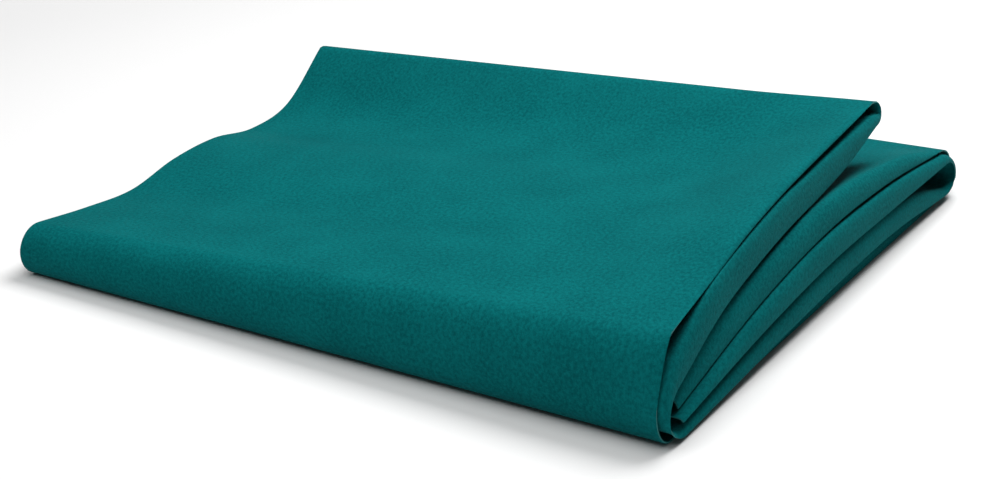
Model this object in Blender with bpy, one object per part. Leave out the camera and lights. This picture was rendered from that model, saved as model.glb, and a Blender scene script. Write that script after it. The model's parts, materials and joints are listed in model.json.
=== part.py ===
"""Folded gaming-table cloth, for Blender 4.5.

One rectangular cloth lies as a flat parcel of six layers. It is doubled end to end, and the doubled
strip is then folded in three. Two layers make the top flap, which turns up and over about the front
fold. Two more are tucked in below it from the back, and the last two are the base that lies flat.

The parcel is described by its cross-section at the two cut edges, in millimetres, with y to the back
and z up. Every layer and every fold is swept straight across from the right section to the left one.
To that come the lips, where the layers droop at the right, and the sag of the flap behind them.
Lengths are turned into metres, and the whole is centred over the origin, when the meshes are made.
"""

import bpy
import numpy as np

MM = 0.001

# The cloth.
WIDTH = 380.0  # along the front fold
THICKNESS = 0.8
SEAM = 0.5  # clearance between two neighbouring pieces of the cloth
INNER_SHEET_OFFSET = 4.5  # the doubled cloth's inner sheet lies this far to the right

# How the cut edges lean in plan: x at y = 0, and how far x moves for each millimetre of y.
BASE_LEAN = (2.0, 0.025)
FLAP_LEAN = (0.0, -0.034)

# A lip is how far a piece bulges, over its first millimetres, from its own right cut edge. It is full at
# the first distance here, and fades out over the second. The sag of the flap is deepest at its own reach.
LIP = (3.6, 55.0)
WIDE_LIPS = {"tuck_top_layer": (6.0, 55.0), "front_fold_outer": (60.0, 400.0)}
SAG_REACH = 80.0

# Mesh divisions.
DEPTHS = (0, 0.3, 1.1, 2.3, 3.6, 6, 10, 16, 25, 38, 58, 80, 120, 180, 270, WIDTH)  # from the right edge
ALONG_LAYER = 16
ALONG_FOLD = 9
CURVE_STEPS = 24  # fine points between two stated points, before a curve is spaced out

# The flap turns about a line in front of the front fold: its y and z at the right and left cut edges.
HINGE_RIGHT = (-13.0, 30.6)
HINGE_LEFT = (-8.0, 13.0)

CLOTH_COLOUR = (0.005, 0.152, 0.150, 1.0)
CLOTH_ROUGHNESS = 0.85

# Each layer: where it starts and ends in y, and its height at even steps between, from front to back,
# given for the right cut edge and then for the left one. Its lips and sags are at even steps too.
LAYERS = {
    "flap_top_layer": {
        "lean": FLAP_LEAN,
        "inner": False,
        "right": (4, 275, (53.6, 61.3, 68.8, 73.1, 75.3, 76.8, 78.4)),
        "left": (10, 290, (25.2, 19.6, 16.2, 21.6, 21.8, 15.4, 19.6, 45.6)),
        "lip": (0, 1, 2, 2, 2, 1.5, 0),
        "sag": (0, 4, 10, 15, 17, 13, 1.5),
    },
    "flap_under_layer": {
        "lean": FLAP_LEAN,
        "inner": True,
        "right": (6, 270, (29.0, 44.6, 51.8, 55.8, 57.2, 60.2, 67.4)),
        "left": (8, 284, (13.0, 15.0, 13.2, 16.6, 17.2, 12.6, 15.2, 34.0)),
        "lip": (12, 15.5, 15.5, 15.5, 15.5, 15, 14, 11, 5),
        "sag": (0, 2, 5, 7, 8, 6, 2),
    },
    "tuck_top_layer": {
        "lean": BASE_LEAN,
        "inner": False,
        "right": (8, 342, (14.2, 32.4, 41.6, 40.4, 32.0)),
        "left": (12, 342, (8.8, 10.4, 10.2, 9.8, 19.0)),
        "lip": (6, 13, 14, 13.5, 13.5, 12, 9, 6, 0),
    },
    "tuck_under_layer": {
        "lean": BASE_LEAN,
        "inner": True,
        "right": (5, 340, (9.8, 20.2, 26.4, 26.4, 25.6)),
        "left": (9, 340, (6.2, 7.6, 7.4, 7.2, 14.0)),
        "lip": (1.5, 6, 10, 12.5, 13.4, 13, 12, 9, 4.4),
    },
    "base_upper_layer": {
        "lean": BASE_LEAN,
        "inner": True,
        "right": (8, 346, (1.8, 6.6, 10.2, 11.2, 4.6)),
        "left": (8, 346, (3.0, 4.6, 4.8, 4.6, 3.6)),
        "lip": (4, 6.6, 9.2, 11.2, 12.6, 12.2, 12, 11, 3),
    },
    "base_bottom_layer": {
        "lean": BASE_LEAN,
        "inner": False,
        "right": (2, 350, (0.4, 0.4, 0.4)),
        "left": (2, 350, (0.4, 0.4, 0.4)),
        "lip": (0, 0, 2, 5, 7, 7, 4, 0),
    },
}

# Each fold: the layer end that it leaves, the layer end that it reaches, and its outermost point
# (y, z) at the right and left cut edges. Its lips, outward, and its sags are at even steps from its
# lower end through that point to its upper end. The shoulders say how far each section, above that point, keeps to the way it leaves
# that point and to the way it reaches the upper layer, as shares of the distance between the two.
ROUND = (0.55, 0.55)
FOLDS = {
    "front_fold_outer": {
        "joins": (("base_bottom_layer", "front"), ("flap_top_layer", "front")),
        "nose": ((-11.6, 20.0), (-7.0, 13.0)),
        "shoulders": ((0.25, 0.45), (0.45, 0.6)),
        "lip": (0, 0, 0, 3.5, 0),
    },
    "front_fold_inner": {
        "joins": (("base_upper_layer", "front"), ("flap_under_layer", "front")),
        "nose": ((-7.4, 17.0), (-3.6, 7.6)),
        "lip": (-4, 2.2, 12),
    },
    "back_fold_outer": {
        "joins": (("base_bottom_layer", "back"), ("tuck_top_layer", "back")),
        "nose": ((364.0, 13.5), (360.0, 9.5)),
    },
    "back_fold_inner": {
        "joins": (("base_upper_layer", "back"), ("tuck_under_layer", "back")),
        "nose": ((361.0, 11.5), (356.5, 8.6)),
        "lip": (-3, 1, 4.4),
    },
    "flap_back_fold": {
        "joins": (("flap_under_layer", "back"), ("flap_top_layer", "back")),
        "nose": ((283.5, 70.0), (300.0, 40.5)),
        "shoulders": ((0.8, 0.8), (0.55, 0.55)),
        "lip": (-5, -1, 0),
        "sag": (2, 1.5, 1.5),
    },
}

FLAP_PIECES = ("flap_top_layer", "flap_under_layer", "flap_back_fold")


def spline(points):
    """A smooth curve through the points, as many fine points."""
    points = np.array(points, float)
    ends = 2 * points[[0, -1]] - points[[1, -2]]
    p = np.vstack([ends[:1], points, ends[1:]])
    u = np.linspace(0, 1, CURVE_STEPS, endpoint=False)[:, None]
    runs = [
        0.5 * (2 * b + (c - a) * u + (2 * a - 5 * b + 4 * c - d) * u**2 + (3 * b - a - 3 * c + d) * u**3)
        for a, b, c, d in zip(p, p[1:], p[2:], p[3:])
    ]
    return np.vstack([*runs, points[-1:]])


def quarter_turn(start, start_way, end, end_way, reach):
    """A curve like a quarter of an ellipse, which leaves and arrives along the two given ways."""
    a = start + start_way * reach[0] * np.abs(end - start)
    b = end - end_way * reach[1] * np.abs(end - start)
    u = np.linspace(0, 1, CURVE_STEPS + 1)[:, None]
    return (1 - u) ** 3 * start + 3 * (1 - u) ** 2 * u * a + 3 * (1 - u) * u**2 * b + u**3 * end


def layer_curve(name, side):
    """A layer's section from front to back, as fine points (x, y, z) at one cut edge."""
    layer = LAYERS[name]
    front, back, heights = layer[side]
    curve = spline(np.column_stack([np.linspace(front, back, len(heights)), heights]))
    at_zero, lean = layer["lean"]
    x = at_zero + lean * curve[:, 0] + (INNER_SHEET_OFFSET if layer["inner"] else 0.0)
    return np.column_stack([x, curve])


def values_along(values, count):
    """Values given at even steps along a curve, at each of its points."""
    fine = spline(np.column_stack([np.linspace(0, 1, len(values)), values]))
    return np.interp(np.linspace(0, 1, count), *fine.T)


def layer_end(name, end, side):
    """The last point of a layer at that end, and the way it points out of the layer, both (x, y, z)."""
    curve = layer_curve(name, side)
    tip, before = (curve[0], curve[1]) if end == "front" else (curve[-1], curve[-2])
    return tip, (tip - before) / np.linalg.norm(tip - before)


def fold_curve(name, side):
    """A fold's section from its lower layer, round its nose, to its upper layer, at one cut edge."""
    fold = FOLDS[name]
    (lower, upper), nose = fold["joins"], fold["nose"][side == "left"]
    shoulder = fold["shoulders"][side == "left"] if "shoulders" in fold else ROUND
    start, start_way = layer_end(*lower, side)
    end, end_way = layer_end(*upper, side)
    tip = np.array([(start[0] + end[0]) / 2, *nose], float)
    up = np.array([0.0, 0.0, 1.0])
    first = quarter_turn(start, start_way, tip, up, ROUND)
    second = quarter_turn(tip, up, end, -end_way, shoulder)
    return np.vstack([first, second[1:]])


def resampled(curve, pieces, trim=0.0):
    """The curve again as evenly spaced points, shortened by trim at both ends.

    Columns after the third come along.
    """
    along = np.concatenate([[0], np.cumsum(np.linalg.norm(np.diff(curve[:, :3], axis=0), axis=1))])
    at = np.linspace(trim, along[-1] - trim, pieces + 1)
    return np.column_stack([np.interp(at, along, column) for column in curve.T])


def side_normals(points):
    """Unit normals to a section curve, in the y-z plane."""
    way = np.gradient(points, axis=0)
    normals = np.column_stack([np.zeros(len(points)), -way[:, 2], way[:, 1]])
    return normals / np.linalg.norm(normals, axis=1)[:, None]


def lip_profile(depth, reach, fade):
    """How much of its lip the cloth has at each depth in from the right cut edge."""
    rise = np.clip(depth / reach, 0, 1)
    fall = np.clip((depth - reach) / fade, 0, 1)
    return np.sqrt(1 - (1 - rise) ** 2) * (1 - fall) ** 1.5


def sag_profile(depth):
    """How much of its sag the flap has at each depth in from the right cut edge."""
    climb = np.clip(depth / SAG_REACH, 0, 1)
    return climb * climb * (3 - 2 * climb) * (1 - depth / WIDTH)


def middle_surface(name):
    """The middle surface of a piece of cloth, as an array of (across, along, xyz)."""
    if name in LAYERS:
        part, curve, spacing = LAYERS[name], layer_curve, (ALONG_LAYER, 0.0)
    else:
        part, curve, spacing = FOLDS[name], fold_curve, (ALONG_FOLD, SEAM)
    right = curve(name, "right")
    lips, sags = (values_along(part.get(key, (0, 0, 0)), len(right))[:, None] for key in ("lip", "sag"))
    outward = -1 if "back_fold" in name else 1
    lips = side_normals(right) * outward * lips
    right, lips, sags = np.split(resampled(np.hstack([right, lips, sags]), *spacing), [3, 6], axis=1)
    left = resampled(curve(name, "left"), *spacing) - [WIDTH, 0, 0]
    depth = np.array(DEPTHS, float)[:, None, None]
    share = depth / WIDTH
    middle = right * (1 - share) + left * share
    middle += lips * lip_profile(depth, *WIDE_LIPS.get(name, LIP))
    return middle - sags * sag_profile(depth) * np.array([0.0, 0.0, 1.0])


def cloth_grid(name):
    """Both faces of a piece of cloth, as an array of (face, across, along, xyz) in metres."""
    middle = middle_surface(name)
    normals = np.cross(np.gradient(middle, axis=0), np.gradient(middle, axis=1))
    half = normals / np.linalg.norm(normals, axis=2)[:, :, None] * THICKNESS / 2
    return np.array([middle - half, middle + half]) * MM


def closed_faces(rows, columns):
    """Faces of a slab whose two grids of points are numbered one after the other."""
    second = rows * columns

    def corner(face, i, j):
        return face * second + i * columns + j

    faces = []
    for i in range(rows - 1):
        for j in range(columns - 1):
            ring = [(i, j), (i, j + 1), (i + 1, j + 1), (i + 1, j)]
            faces.append([corner(0, *c) for c in ring])
            faces.append([corner(1, *c) for c in reversed(ring)])
    rim = [(0, j) for j in range(columns - 1)]
    rim += [(i, columns - 1) for i in range(rows - 1)]
    rim += [(rows - 1, j) for j in range(columns - 1, 0, -1)]
    rim += [(i, 0) for i in range(rows - 1, 0, -1)]
    for a, b in zip(rim, rim[1:] + rim[:1]):
        faces.append([corner(0, *b), corner(0, *a), corner(1, *a), corner(1, *b)])
    return faces


def signed_volume(points, faces):
    """Six times the volume that the faces close, negative if they point inward."""
    total = 0.0
    for face in faces:
        a = points[face[0]]
        for b, c in zip(face[1:], face[2:]):
            total += a @ np.cross(points[b], points[c])
    return total


def cloth_material(name):
    """Matt teal polyester cloth."""
    material = bpy.data.materials.new(name + "_cloth")
    material.use_nodes = True
    shader = material.node_tree.nodes["Principled BSDF"]
    shader.inputs["Base Color"].default_value = CLOTH_COLOUR
    shader.inputs["Roughness"].default_value = CLOTH_ROUGHNESS
    shader.inputs["Metallic"].default_value = 0.0
    material.diffuse_color = CLOTH_COLOUR
    return material


def add_piece(name, grid, centre, parent=None):
    """One piece of cloth as a closed mesh whose origin is its parent's, or else its own middle."""
    points = grid.reshape(-1, 3) - centre
    faces = closed_faces(*grid.shape[1:3])
    if signed_volume(points, faces) < 0:
        faces = [face[::-1] for face in faces]
    origin = np.array(parent.location) if parent else points.mean(axis=0)
    mesh = bpy.data.meshes.new(name)
    mesh.from_pydata((points - origin).tolist(), [], faces)
    mesh.shade_smooth()
    mesh.set_sharp_from_angle(angle=np.radians(60))
    mesh.materials.append(cloth_material(name))
    piece = bpy.data.objects.new(name, mesh)
    bpy.context.scene.collection.objects.link(piece)
    if parent:
        piece.parent = parent
    else:
        piece.location = origin
    return piece


def add_hinge(centre):
    """An empty in the middle of the flap's hinge line."""
    ends = np.array([[0.0, *HINGE_RIGHT], [-WIDTH, *HINGE_LEFT]]) * MM - centre
    hinge = bpy.data.objects.new("flap_hinge", None)
    hinge.location = ends.mean(axis=0)
    hinge.empty_display_size = 0.05
    bpy.context.scene.collection.objects.link(hinge)
    return hinge


def build():
    for old in list(bpy.data.objects):
        bpy.data.objects.remove(old)
    grids = {name: cloth_grid(name) for name in [*LAYERS, *FOLDS]}
    points = np.vstack([grid.reshape(-1, 3) for grid in grids.values()])
    low, high = points.min(axis=0), points.max(axis=0)
    centre = np.array([(low[0] + high[0]) / 2, (low[1] + high[1]) / 2, low[2]])
    hinge = add_hinge(centre)
    for name, grid in grids.items():
        add_piece(name, grid, centre, parent=hinge if name in FLAP_PIECES else None)


build()
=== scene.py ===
"""Looks of the folded gaming-table cloth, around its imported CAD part.

The cloth is doubled end to end and the doubled strip is folded in three. Its sections at the two cut
edges are in millimetres, with y to the back and z up, and every row of points across the cloth runs
from the right section to the left one. Three pieces make the cloth: the flap with the folds that
carry it, the outer sheet of the base, and the inner sheet of the base.
"""

import json

import bpy
import numpy as np
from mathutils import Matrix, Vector


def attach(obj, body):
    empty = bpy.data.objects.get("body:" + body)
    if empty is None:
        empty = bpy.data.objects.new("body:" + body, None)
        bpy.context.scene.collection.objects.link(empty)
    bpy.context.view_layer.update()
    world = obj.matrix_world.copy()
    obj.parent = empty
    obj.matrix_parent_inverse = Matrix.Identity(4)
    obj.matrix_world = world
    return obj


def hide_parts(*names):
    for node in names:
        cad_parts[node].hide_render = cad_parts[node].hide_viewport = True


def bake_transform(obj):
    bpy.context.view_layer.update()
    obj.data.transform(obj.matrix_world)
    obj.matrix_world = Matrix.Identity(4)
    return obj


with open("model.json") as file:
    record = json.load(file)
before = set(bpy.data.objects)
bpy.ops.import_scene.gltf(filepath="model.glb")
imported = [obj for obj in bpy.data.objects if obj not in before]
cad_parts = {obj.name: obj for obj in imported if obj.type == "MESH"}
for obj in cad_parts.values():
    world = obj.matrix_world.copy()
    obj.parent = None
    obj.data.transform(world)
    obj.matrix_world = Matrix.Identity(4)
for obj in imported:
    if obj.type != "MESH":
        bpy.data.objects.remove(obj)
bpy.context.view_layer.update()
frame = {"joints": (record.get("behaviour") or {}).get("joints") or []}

MM = 0.001

# The cloth.
WIDTH = 380.0  # along the front fold
THICKNESS = 0.8
INNER_SHEET_OFFSET = 4.5  # the doubled cloth's inner sheet lies this far to the right

# How the cut edges lean in plan: x at y = 0, and how far x moves for each millimetre of y.
BASE_LEAN = (2.0, 0.025)
FLAP_LEAN = (0.0, -0.034)

# The middle of the line that the flap turns about, halfway between the cut edges.
HINGE_MIDDLE = (-WIDTH / 2, -10.5, 21.8)

# Mesh detail.
STEP = 3.0  # distance between neighbouring points along a section and across the cloth
LIP_ROWS = 16  # rows of points across the drooping edge
LIP_BAND = 14.0  # how far in those rows reach
CURVE_STEPS = 24  # pieces of each stretch of a curve
SHARP_EDGE = 50.0  # faces that meet at more degrees than this keep a sharp edge

# At the right the layers droop, so that each one comes down from just below the layer above it to its
# own cut edge. That bulge from the cut edge is its lip. It is full at the first distance in from the
# edge, and fades out over the second.
LIP = (3.6, 55.0)
WIDE_LIPS = {"tuck_top_layer": (6.0, 55.0), "front_fold_outer": (60.0, 400.0)}

# Between the raised right edge and the left one, the flap sags. The sag is deepest this far in.
SAG_REACH = 80.0

# Each layer: where it starts and ends in y, and its height at even steps between, from front to back,
# given for the right cut edge and then for the left one. Its lips and sags are at even steps too.
LAYERS = {
    "flap_top_layer": {
        "lean": FLAP_LEAN,
        "inner": False,
        "right": (4, 275, (53.6, 61.3, 68.8, 73.1, 75.3, 76.8, 78.4)),
        "left": (10, 290, (25.2, 19.6, 16.2, 21.6, 21.8, 15.4, 19.6, 45.6)),
        "lip": (0, 1, 2, 2, 2, 1.5, 0),
        "sag": (0, 4, 10, 15, 17, 13, 1.5),
    },
    "flap_under_layer": {
        "lean": FLAP_LEAN,
        "inner": True,
        "right": (6, 270, (29.0, 44.6, 51.8, 55.8, 57.2, 60.2, 67.4)),
        "left": (8, 284, (13.0, 15.0, 13.2, 16.6, 17.2, 12.6, 15.2, 34.0)),
        "lip": (12, 15.5, 15.5, 15.5, 15.5, 15, 14, 11, 5),
        "sag": (0, 2, 5, 7, 8, 6, 2),
    },
    "tuck_top_layer": {
        "lean": BASE_LEAN,
        "inner": False,
        "right": (8, 342, (14.2, 32.4, 41.6, 40.4, 32.0)),
        "left": (12, 342, (8.8, 10.4, 10.2, 9.8, 19.0)),
        "lip": (6, 13, 14, 13.5, 13.5, 12, 9, 6, 0),
    },
    "tuck_under_layer": {
        "lean": BASE_LEAN,
        "inner": True,
        "right": (5, 340, (9.8, 20.2, 26.4, 26.4, 25.6)),
        "left": (9, 340, (6.2, 7.6, 7.4, 7.2, 14.0)),
        "lip": (1.5, 6, 10, 12.5, 13.4, 13, 12, 9, 4.4),
    },
    "base_upper_layer": {
        "lean": BASE_LEAN,
        "inner": True,
        "right": (8, 346, (1.8, 6.6, 10.2, 11.2, 4.6)),
        "left": (8, 346, (3.0, 4.6, 4.8, 4.6, 3.6)),
        "lip": (4, 6.6, 9.2, 11.2, 12.6, 12.2, 12, 11, 3),
    },
    "base_bottom_layer": {
        "lean": BASE_LEAN,
        "inner": False,
        "right": (2, 350, (0.4, 0.4, 0.4)),
        "left": (2, 350, (0.4, 0.4, 0.4)),
        "lip": (0, 0, 2, 5, 7, 7, 4, 0),
    },
}

# Each fold: the layer end that it leaves, the layer end that it reaches, its outermost point (y, z) at
# the right and left cut edges, and its lips, outward, and sags at even steps from its lower end through
# that point to its upper end.
# The shoulders say how far each section, above that point, keeps to the way it leaves that point and to
# the way it reaches the upper layer, as shares of the distance between the two.
ROUND = (0.55, 0.55)
FOLDS = {
    "front_fold_outer": {
        "joins": (("base_bottom_layer", "front"), ("flap_top_layer", "front")),
        "nose": ((-11.6, 20.0), (-7.0, 13.0)),
        "shoulders": ((0.25, 0.45), (0.45, 0.6)),
        "lip": (0, 0, 0, 3.5, 0),
    },
    "front_fold_inner": {
        "joins": (("base_upper_layer", "front"), ("flap_under_layer", "front")),
        "nose": ((-7.4, 17.0), (-3.6, 7.6)),
        "lip": (-4, 2.2, 12),
    },
    "back_fold_outer": {
        "joins": (("base_bottom_layer", "back"), ("tuck_top_layer", "back")),
        "nose": ((364.0, 13.5), (360.0, 9.5)),
    },
    "back_fold_inner": {
        "joins": (("base_upper_layer", "back"), ("tuck_under_layer", "back")),
        "nose": ((361.0, 11.5), (356.5, 8.6)),
        "lip": (-3, 1, 4.4),
    },
    "flap_back_fold": {
        "joins": (("flap_under_layer", "back"), ("flap_top_layer", "back")),
        "nose": ((283.5, 70.0), (300.0, 40.5)),
        "shoulders": ((0.8, 0.8), (0.55, 0.55)),
        "lip": (-5, -1, 0),
        "sag": (2, 1.5, 1.5),
    },
}

# The three pieces, each as its run of layers and folds along the cloth, +1 forward or -1 backward.
STRIPS = {
    "flap_cloth": (
        ("front_fold_outer", 1), ("flap_top_layer", 1), ("flap_back_fold", -1),
        ("flap_under_layer", -1), ("front_fold_inner", -1),
    ),
    "base_outer_cloth": (("base_bottom_layer", 1), ("back_fold_outer", 1), ("tuck_top_layer", -1)),
    "base_inner_cloth": (("base_upper_layer", 1), ("back_fold_inner", 1), ("tuck_under_layer", -1)),
}


def smooth(u):
    """An even climb from 0 to 1, flat at both ends."""
    u = np.clip(u, 0, 1)
    return u * u * (3 - 2 * u)


def spline(points):
    """A smooth curve through the points, as many fine points."""
    points = np.array(points, float)
    ends = 2 * points[[0, -1]] - points[[1, -2]]
    p = np.vstack([ends[:1], points, ends[1:]])
    u = np.linspace(0, 1, CURVE_STEPS, endpoint=False)[:, None]
    runs = [
        0.5 * (2 * b + (c - a) * u + (2 * a - 5 * b + 4 * c - d) * u**2 + (3 * b - a - 3 * c + d) * u**3)
        for a, b, c, d in zip(p, p[1:], p[2:], p[3:])
    ]
    return np.vstack([*runs, points[-1:]])


def quarter_turn(start, start_way, end, end_way, reach):
    """A curve like a quarter of an ellipse, which leaves and arrives along the two given ways."""
    a = start + start_way * reach[0] * np.abs(end - start)
    b = end - end_way * reach[1] * np.abs(end - start)
    u = np.linspace(0, 1, CURVE_STEPS + 1)[:, None]
    return (1 - u) ** 3 * start + 3 * (1 - u) ** 2 * u * a + 3 * (1 - u) * u**2 * b + u**3 * end


def layer_curve(name, side):
    """A layer's section from front to back, as fine points (x, y, z) at one cut edge."""
    layer = LAYERS[name]
    front, back, heights = layer[side]
    curve = spline(np.column_stack([np.linspace(front, back, len(heights)), heights]))
    at_zero, lean = layer["lean"]
    x = at_zero + lean * curve[:, 0] + (INNER_SHEET_OFFSET if layer["inner"] else 0.0)
    return np.column_stack([x, curve])


def values_along(values, count):
    """Values given at even steps along a curve, at each of its points."""
    fine = spline(np.column_stack([np.linspace(0, 1, len(values)), values]))
    return np.interp(np.linspace(0, 1, count), *fine.T)


def layer_end(name, end, side):
    """The last point of a layer at that end, and the way it points out of the layer, both (x, y, z)."""
    curve = layer_curve(name, side)
    tip, before = (curve[0], curve[1]) if end == "front" else (curve[-1], curve[-2])
    return tip, (tip - before) / np.linalg.norm(tip - before)


def fold_curve(name, side):
    """A fold's section from its lower layer, round its nose, to its upper layer, at one cut edge."""
    fold = FOLDS[name]
    (lower, upper), nose = fold["joins"], fold["nose"][side == "left"]
    shoulder = fold["shoulders"][side == "left"] if "shoulders" in fold else ROUND
    start, start_way = layer_end(*lower, side)
    end, end_way = layer_end(*upper, side)
    tip = np.array([(start[0] + end[0]) / 2, *nose], float)
    up = np.array([0.0, 0.0, 1.0])
    first = quarter_turn(start, start_way, tip, up, ROUND)
    second = quarter_turn(tip, up, end, -end_way, shoulder)
    return np.vstack([first, second[1:]])


def run_lengths(curve):
    """The distance along a curve from its start to each of its points."""
    return np.concatenate([[0], np.cumsum(np.linalg.norm(np.diff(curve, axis=0), axis=1))])


def resampled(curve, pieces):
    """The curve again as evenly spaced points. Columns after the third come along."""
    along = run_lengths(curve[:, :3])
    at = np.linspace(0, along[-1], pieces + 1)
    return np.column_stack([np.interp(at, along, column) for column in curve.T])


def side_normals(points):
    """Unit normals to a section curve, in the y-z plane."""
    way = np.gradient(points, axis=0)
    normals = np.column_stack([np.zeros(len(points)), -way[:, 2], way[:, 1]])
    return normals / np.linalg.norm(normals, axis=1)[:, None]


def part_sections(name):
    """A layer's or fold's right section, left section, lip vectors, lip distances and sag at each point."""
    part = LAYERS.get(name) or FOLDS[name]
    curve = layer_curve if name in LAYERS else fold_curve
    right, left = curve(name, "right"), curve(name, "left")
    lips, sags = (values_along(part.get(key, (0, 0, 0)), len(right))[:, None] for key in ("lip", "sag"))
    outward = -1 if "back_fold" in name else 1
    lips = side_normals(right) * outward * lips
    pieces = int(max(run_lengths(right)[-1], run_lengths(left)[-1]) / STEP) + 1
    right, lips, sags = np.split(resampled(np.hstack([right, lips, sags]), pieces), [3, 6], axis=1)
    distances = np.tile(WIDE_LIPS.get(name, LIP), (pieces + 1, 1))
    return right, resampled(left, pieces) - [WIDTH, 0, 0], lips, distances, sags


def strip_sections(parts):
    """The sections of a strip's parts, joined in order."""
    runs = [[section[::way] for section in part_sections(name)] for name, way in parts]
    joined = zip(*[run if i == 0 else [section[1:] for section in run] for i, run in enumerate(runs)])
    return [np.vstack(sections) for sections in joined]


def lip_profile(depth, distances):
    """How much of its lip the cloth has at each depth in from the right cut edge."""
    reach, fade = distances[:, :1], distances[:, 1:]
    rise = np.clip(depth / reach, 0, 1)
    fall = np.clip((depth - reach) / fade, 0, 1)
    return np.sqrt(1 - (1 - rise) ** 2) * (1 - fall) ** 1.5


def sag_profile(depth):
    """How much of its sag the flap has at each depth in from the right cut edge."""
    return smooth(depth / SAG_REACH) * (1 - depth / WIDTH)


def model_centre():
    """The place of the model's origin among the sections, in millimetres."""
    return np.array(HINGE_MIDDLE) - np.array(frame["joints"][0]["pos_m"]) / MM


def cloth_surface(parts):
    """The middle surface of a strip, and its unit normals, as (across, along, xyz) grids."""
    right, left, lips, distances, sag = strip_sections(parts)
    lip_rows = LIP_BAND * (1 - np.cos(np.linspace(0, np.pi / 2, LIP_ROWS, endpoint=False)))
    depth = np.concatenate([lip_rows, np.arange(LIP_BAND, WIDTH, STEP), [WIDTH]])[:, None, None]
    share = depth / WIDTH
    middle = right * (1 - share) + left * share + lips * lip_profile(depth, distances)
    middle -= sag * sag_profile(depth) * np.array([0.0, 0.0, 1.0])
    across = np.gradient(middle, axis=0)
    along = np.gradient(middle, axis=1)
    normals = np.cross(across, along)
    return middle, normals / np.linalg.norm(normals, axis=2)[:, :, None]


def slab_faces(rows, columns):
    """Faces of a slab whose two grids of points are numbered one after the other, and its rim's faces."""
    i, j = np.meshgrid(np.arange(rows - 1), np.arange(columns - 1), indexing="ij")
    a = (i * columns + j).ravel()
    sheet = np.column_stack([a, a + 1, a + columns + 1, a + columns])
    second = rows * columns
    rim = list(range(columns - 1))
    rim += [i * columns + columns - 1 for i in range(rows - 1)]
    rim += [(rows - 1) * columns + j for j in range(columns - 1, 0, -1)]
    rim += [i * columns for i in range(rows - 1, 0, -1)]
    rim = np.array(rim)
    after = np.roll(rim, -1)
    edge = np.column_stack([after, rim, rim + second, after + second])
    return np.vstack([sheet, sheet[:, ::-1] + second, edge]), len(edge)


def add_cloth(name, parts, centre, materials):
    """One strip of the cloth as a closed mesh, with a UV map in metres along the cloth."""
    middle, normals = cloth_surface(parts)
    rows, columns = middle.shape[:2]
    half = normals * THICKNESS / 2
    points = (np.stack([middle - half, middle + half]).reshape(-1, 3) - centre) * MM
    faces, rim = slab_faces(rows, columns)
    mesh = bpy.data.meshes.new(name)
    mesh.from_pydata(points.tolist(), [], faces.tolist())
    for material in materials:
        mesh.materials.append(material)
    slots = np.zeros(len(faces), np.int32)
    slots[-rim:] = 1
    mesh.polygons.foreach_set("material_index", slots)

    along = np.linalg.norm(np.diff(middle, axis=1), axis=2).mean(axis=0)
    v = np.concatenate([[0], np.cumsum(along)]) * MM
    across = np.linalg.norm(np.diff(middle[::-1], axis=0), axis=2)
    u = np.vstack([np.zeros(columns), np.cumsum(across, axis=0)])[::-1] * MM
    flat = np.stack([u, np.broadcast_to(v, u.shape)], axis=2).reshape(-1, 2)
    flat = np.vstack([flat, flat])
    corners = np.zeros(len(mesh.loops), np.int32)
    mesh.loops.foreach_get("vertex_index", corners)
    uv = mesh.uv_layers.new(name="cloth")
    uv.data.foreach_set("uv", flat[corners].ravel().astype(np.float32))

    mesh.shade_smooth()
    mesh.set_sharp_from_angle(angle=np.radians(SHARP_EDGE))
    piece = bpy.data.objects.new(name, mesh)
    bpy.context.scene.collection.objects.link(piece)
    return piece


def add_node(tree, kind, **values):
    """A shader node with those of its inputs or settings given."""
    node = tree.nodes.new(kind)
    for key, value in values.items():
        name = key.replace("_", " ")
        if name in node.inputs:
            node.inputs[name].default_value = value
        else:
            setattr(node, key, value)
    return node


# The cloth's colours, and where between them the joined textures reach each one.
CLOTH_DARK = (0.0006, 0.080, 0.086, 1.0)
CLOTH_LIGHT = (0.0020, 0.137, 0.142, 1.0)
CLOTH_SPREAD = (0.65, 1.15)

# The shares of the fibres and of the clouds in the cloth's colour, beside the whole of its mottle.
FIBRE_SHARE = 0.5
CLOUD_SHARE = 0.3

EDGE_DARK = (0.006, 0.120, 0.120, 1.0)
EDGE_LIGHT = (0.020, 0.200, 0.200, 1.0)


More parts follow.
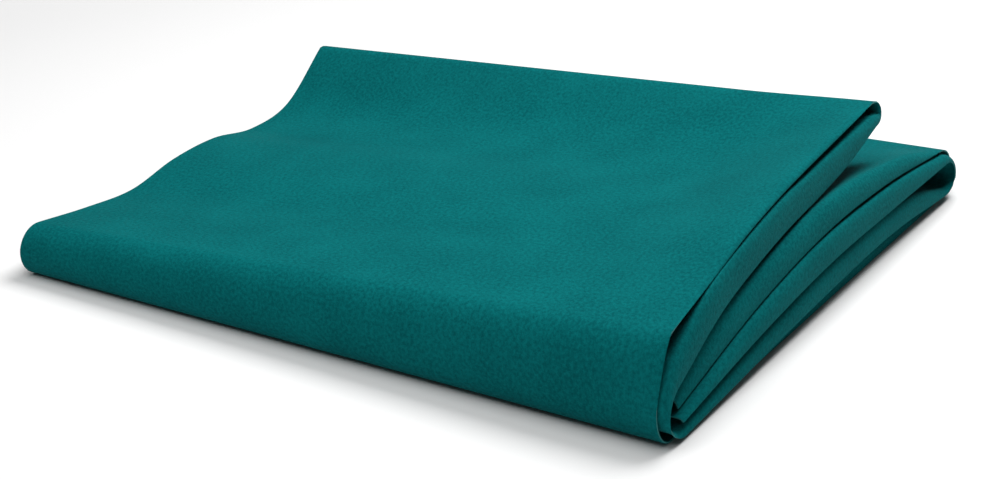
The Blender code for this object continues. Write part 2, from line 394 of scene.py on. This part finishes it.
def cloth_material():
    """Matt teal woven polyester with a short nap."""
    material = bpy.data.materials.new("cloth")
    material.use_nodes = True
    tree = material.node_tree
    shader = tree.nodes["Principled BSDF"]
    shader.inputs["Roughness"].default_value = 0.88
    shader.inputs["Specular IOR Level"].default_value = 0.02
    shader.inputs["Sheen Weight"].default_value = 0.05
    shader.inputs["Sheen Roughness"].default_value = 0.3
    shader.inputs["Sheen Tint"].default_value = (0.6, 1.0, 0.98, 1.0)

    place = add_node(tree, "ShaderNodeUVMap", uv_map="cloth")
    fibres = add_node(tree, "ShaderNodeTexNoise", Scale=1500.0, Detail=3.0, Roughness=0.6)
    mottle = add_node(tree, "ShaderNodeTexNoise", Scale=520.0, Detail=3.0, Roughness=0.6)
    clouds = add_node(tree, "ShaderNodeTexNoise", Scale=28.0, Detail=2.0, Roughness=0.5)
    for texture in (fibres, mottle, clouds):
        texture.noise_dimensions = "2D"
        tree.links.new(place.outputs["UV"], texture.inputs["Vector"])

    mix = add_node(tree, "ShaderNodeMath", operation="MULTIPLY_ADD")
    mix.inputs[1].default_value = FIBRE_SHARE
    tree.links.new(fibres.outputs["Fac"], mix.inputs[0])
    tree.links.new(mottle.outputs["Fac"], mix.inputs[2])
    more = add_node(tree, "ShaderNodeMath", operation="MULTIPLY_ADD")
    more.inputs[1].default_value = CLOUD_SHARE
    tree.links.new(clouds.outputs["Fac"], more.inputs[0])
    tree.links.new(mix.outputs[0], more.inputs[2])
    spread = add_node(tree, "ShaderNodeMapRange")
    spread.inputs["From Min"].default_value, spread.inputs["From Max"].default_value = CLOTH_SPREAD
    tree.links.new(more.outputs[0], spread.inputs["Value"])
    colour = add_node(tree, "ShaderNodeMix", data_type="RGBA")
    colour.inputs[6].default_value = CLOTH_DARK
    colour.inputs[7].default_value = CLOTH_LIGHT
    tree.links.new(spread.outputs["Result"], colour.inputs["Factor"])
    tree.links.new(colour.outputs[2], shader.inputs["Base Color"])

    bump = add_node(tree, "ShaderNodeBump", Strength=0.35, Distance=0.0004)
    tree.links.new(mix.outputs[0], bump.inputs["Height"])
    tree.links.new(bump.outputs["Normal"], shader.inputs["Normal"])
    return material


def cut_edge_material():
    """The cloth's cut edge, coloured a little lighter than the cloth."""
    material = bpy.data.materials.new("cut_edge")
    material.use_nodes = True
    tree = material.node_tree
    shader = tree.nodes["Principled BSDF"]
    shader.inputs["Roughness"].default_value = 0.95
    shader.inputs["Specular IOR Level"].default_value = 0.1
    shader.inputs["Sheen Weight"].default_value = 0.1
    place = add_node(tree, "ShaderNodeUVMap", uv_map="cloth")
    threads = add_node(tree, "ShaderNodeTexNoise", Scale=700.0, Detail=2.0)
    tree.links.new(place.outputs["UV"], threads.inputs["Vector"])
    colour = add_node(tree, "ShaderNodeMix", data_type="RGBA")
    colour.inputs[6].default_value = EDGE_DARK
    colour.inputs[7].default_value = EDGE_LIGHT
    tree.links.new(threads.outputs["Fac"], colour.inputs["Factor"])
    tree.links.new(colour.outputs[2], shader.inputs["Base Color"])
    return material


# The surround's brightness, as it is seen and as it lights the cloth.
SURROUND_SEEN = 0.8
SURROUND_LIGHT = 0.08

FLOOR_SIZE = 12.0
FLOOR_DROP = 0.0002  # the gap below the cloth
FLOOR_WHITE = (0.78, 0.78, 0.78, 1.0)

# Away from the cloth, the floor glows: not at all up to the first distance from the middle, and as
# brightly as the surround from the second one on.
FLOOR_GLOW = (0.5, 1.4)


def add_floor():
    """A plain white floor, which stays pale where the lights don't reach."""
    bpy.ops.mesh.primitive_plane_add(size=FLOOR_SIZE, location=(0, 0, -FLOOR_DROP))
    floor = bpy.context.object
    floor.name = "floor"
    material = bpy.data.materials.new("floor_white")
    material.use_nodes = True
    tree = material.node_tree
    shader = tree.nodes["Principled BSDF"]
    shader.inputs["Base Color"].default_value = FLOOR_WHITE
    shader.inputs["Roughness"].default_value = 0.9
    shader.inputs["Specular IOR Level"].default_value = 0.1
    shader.inputs["Emission Color"].default_value = (1, 1, 1, 1)
    place = add_node(tree, "ShaderNodeTexCoord")
    distance = add_node(tree, "ShaderNodeVectorMath", operation="LENGTH")
    glow = add_node(tree, "ShaderNodeMapRange", interpolation_type="SMOOTHSTEP")
    glow.inputs["From Min"].default_value, glow.inputs["From Max"].default_value = FLOOR_GLOW
    glow.inputs["To Max"].default_value = SURROUND_SEEN
    tree.links.new(place.outputs["Object"], distance.inputs[0])
    tree.links.new(distance.outputs["Value"], glow.inputs["Value"])
    tree.links.new(glow.outputs["Result"], shader.inputs["Emission Strength"])
    floor.data.materials.append(material)


def add_area_light(name, place, target, size, power):
    """A soft square light at a place, turned to a target."""
    light = bpy.data.lights.new(name, "AREA")
    light.shape = "SQUARE"
    light.size = size
    light.energy = power
    lamp = bpy.data.objects.new(name, light)
    lamp.location = place
    lamp.rotation_euler = (Vector(target) - Vector(place)).to_track_quat("-Z", "Y").to_euler()
    bpy.context.scene.collection.objects.link(lamp)


def add_studio():
    """Soft light from above, most of it from behind, and a pale surround."""
    scene = bpy.context.scene
    scene.view_settings.view_transform = "Standard"
    scene.world = bpy.data.worlds.new("studio")
    scene.world.use_nodes = True
    tree = scene.world.node_tree
    background = tree.nodes["Background"]
    background.inputs["Color"].default_value = (1, 1, 1, 1)
    seen = add_node(tree, "ShaderNodeLightPath")
    strength = add_node(tree, "ShaderNodeMath", operation="MULTIPLY_ADD")
    strength.inputs[1].default_value = SURROUND_SEEN - SURROUND_LIGHT
    strength.inputs[2].default_value = SURROUND_LIGHT
    tree.links.new(seen.outputs["Is Camera Ray"], strength.inputs[0])
    tree.links.new(strength.outputs[0], background.inputs["Strength"])
    add_area_light("back", (0.2, 0.6, 1.25), (0, 0, 0), 0.8, 22)
    add_area_light("front", (0.0, -0.45, 1.0), (0, -0.05, 0), 1.0, 8.5)


CAMERA_PLACE = (0.523905, -0.903783, 0.438985)
CAMERA_TILT = 67.0  # degrees up from looking straight down
CAMERA_TURN = 30.17  # degrees round to the right-hand side
CAMERA_LENS = 72.0
SENSOR_WIDTH = 36.0


def add_camera():
    """The camera, in front of the cloth's right corner and above it."""
    data = bpy.data.cameras.new("camera")
    data.lens = CAMERA_LENS
    data.sensor_width = SENSOR_WIDTH
    camera = bpy.data.objects.new("camera", data)
    camera.location = CAMERA_PLACE
    camera.rotation_euler = (np.radians(CAMERA_TILT), 0, np.radians(CAMERA_TURN))
    bpy.context.scene.collection.objects.link(camera)
    bpy.context.scene.camera = camera


def dress_cloth():
    """The three pieces of cloth in place of the CAD model's plain layers and folds."""
    materials = [cloth_material(), cut_edge_material()]
    centre = model_centre()
    pieces = {}
    for name, parts in STRIPS.items():
        piece = pieces[name] = add_cloth(name, parts, centre, materials)
        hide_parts(*[part for part, _ in parts])
        right, left = strip_sections(parts)[:2]
    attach(pieces["base_outer_cloth"], "root")
    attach(pieces["base_inner_cloth"], "root")
    hinge = frame["joints"][0]
    place, axis = Vector(hinge["pos_m"]), Vector(hinge["axis"])
    rise = axis.cross(Vector((0, 1, 0))).normalized()
    rise *= 1 if rise.z > 0 else -1
    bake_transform(pieces["flap_cloth"])


add_camera()
add_floor()
add_studio()
dress_cloth()
